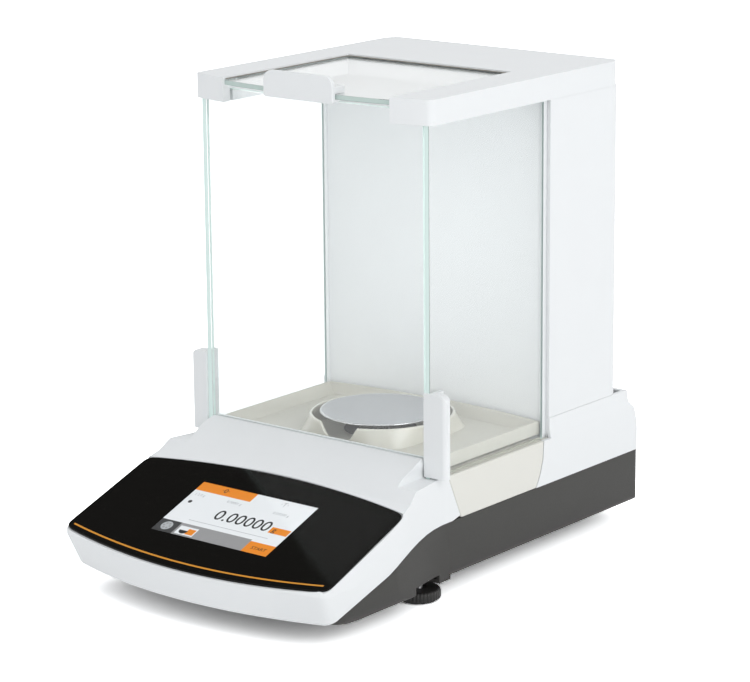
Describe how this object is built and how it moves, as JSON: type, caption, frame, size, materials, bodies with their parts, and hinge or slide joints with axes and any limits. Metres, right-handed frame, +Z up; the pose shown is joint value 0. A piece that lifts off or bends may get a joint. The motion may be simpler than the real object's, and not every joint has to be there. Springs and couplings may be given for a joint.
{
  "type": "semi-micro balance",
  "caption": "Laboratory balance with a glass draft shield, sliding side and top doors, a round pan in a draft ring, a sloping touch display and screw-adjustable feet.",
  "frame": {"origin": "on the table, under the centre of the overall bounding box", "axes": "+X to the user's right, +Y to the rear, +Z up"},
  "size_m": [0.216, 0.364, 0.3296],
  "materials": {
    "white_plastic": "fine-grained moulded ABS",
    "beige_plastic": "fine-grained moulded ABS",
    "grey_beige_plastic": "smooth moulded plastic",
    "dark_plastic": "textured moulded ABS",
    "black_plastic": "satin moulded plastic",
    "black_gloss": "back-printed clear lens",
    "display_picture": "lit display under the clear lens",
    "orange_trim": "printed strip under the lens",
    "clear_glass": "polished edges",
    "stainless_steel": "brushed",
    "screw_steel": "zinc plated",
    "sheet_steel": "tinned",
    "brass": "turned",
    "rubber": "moulded",
    "cast_base": "die-cast, painted dark grey",
    "cell_aluminium": "milled",
    "circuit_board": "solder resist",
    "grey_rail": "extruded, satin"
  },
  "bodies": {
    "frame": {"bottom_housing": "dark_plastic", "base_plate": "cast_base", "hook_cover": "black_plastic", "base_screws": "screw_steel", "foot_bush_left": "brass", "foot_bush_right": "brass", "rear_foot_left": "rubber", "rear_foot_right": "rubber", "front_housing": "white_plastic", "display_lens": "black_gloss", "display_window": "display_picture", "display_module": "sheet_steel", "display_board": "circuit_board", "trim_strip": "orange_trim", "chamber_base": "beige_plastic", "lower_rail_left": "grey_rail", "lower_rail_right": "grey_rail", "pan_support": "stainless_steel", "front_glass": "clear_glass", "top_frame": "white_plastic", "upper_rail_left": "grey_rail", "upper_rail_right": "grey_rail", "rear_cover": "white_plastic", "column_shell": "white_plastic", "column_liner": "white_plastic", "rear_screws": "screw_steel", "power_inlet": "black_plastic", "usb_socket": "sheet_steel", "serial_socket": "sheet_steel", "connector_plate": "black_plastic", "weigh_cell": "cell_aluminium", "magnet": "screw_steel", "cal_weight": "stainless_steel", "cal_motor": "black_plastic", "main_board": "circuit_board"},
    "left_door": {"left_door_glass": "clear_glass", "left_door_handle": "white_plastic", "left_door_strip": "white_plastic"},
    "right_door": {"right_door_glass": "clear_glass", "right_door_handle": "white_plastic", "right_door_strip": "white_plastic"},
    "top_door": {"top_door_glass": "clear_glass", "top_door_handle": "white_plastic", "top_door_bar": "white_plastic"},
    "tray": {"chamber_tray": "grey_beige_plastic"},
    "ring": {"draft_ring": "grey_beige_plastic"},
    "pan": {"weighing_pan": "stainless_steel"},
    "left_pad": {"foot_pad_left": "rubber"},
    "left_foot": {"foot_wheel_left": "black_plastic", "foot_stud_left": "screw_steel"},
    "right_pad": {"foot_pad_right": "rubber"},
    "right_foot": {"foot_wheel_right": "black_plastic", "foot_stud_right": "screw_steel"}
  },
  "joints": [
    {"name": "left_door_slide", "type": "slide", "parent": "frame", "child": "left_door", "axis": [0, 1, 0], "range_m": [0, 0.068]},
    {"name": "right_door_slide", "type": "slide", "parent": "frame", "child": "right_door", "axis": [0, 1, 0], "range_m": [0, 0.068]},
    {"name": "top_door_slide", "type": "slide", "parent": "frame", "child": "top_door", "axis": [0, 1, 0], "range_m": [0, 0.07]},
    {"name": "pan_lift", "type": "slide", "parent": "frame", "child": "pan", "axis": [0, 0, 1], "range_m": [0, 0.03]},
    {"name": "tray_lift", "type": "slide", "parent": "frame", "child": "tray", "axis": [0, 0, 1], "range_m": [0, 0.007]},
    {"name": "ring_lift", "type": "slide", "parent": "tray", "child": "ring", "axis": [0, 0, 1], "range_m": [0, 0.03]},
    {"name": "left_foot_lift", "type": "slide", "parent": "frame", "child": "left_pad", "axis": [0, 0, 1], "range_m": [-0.0041, 0.0021]},
    {"name": "left_foot_turn", "type": "hinge", "parent": "left_pad", "child": "left_foot", "pos_m": [-0.0814, -0.0468, 0], "axis": [0, 0, 1], "range_deg": [-1800, 900]},
    {"name": "right_foot_lift", "type": "slide", "parent": "frame", "child": "right_pad", "axis": [0, 0, 1], "range_m": [-0.0041, 0.0021]},
    {"name": "right_foot_turn", "type": "hinge", "parent": "right_pad", "child": "right_foot", "pos_m": [0.0814, -0.0468, 0], "axis": [0, 0, 1], "range_deg": [-1800, 900]}
  ],
  "couplings": [
    {"joint": "left_foot_lift", "follows": "left_foot_turn", "m_per_rad": 0.00012732},
    {"joint": "right_foot_lift", "follows": "right_foot_turn", "m_per_rad": 0.00012732}
  ]
}
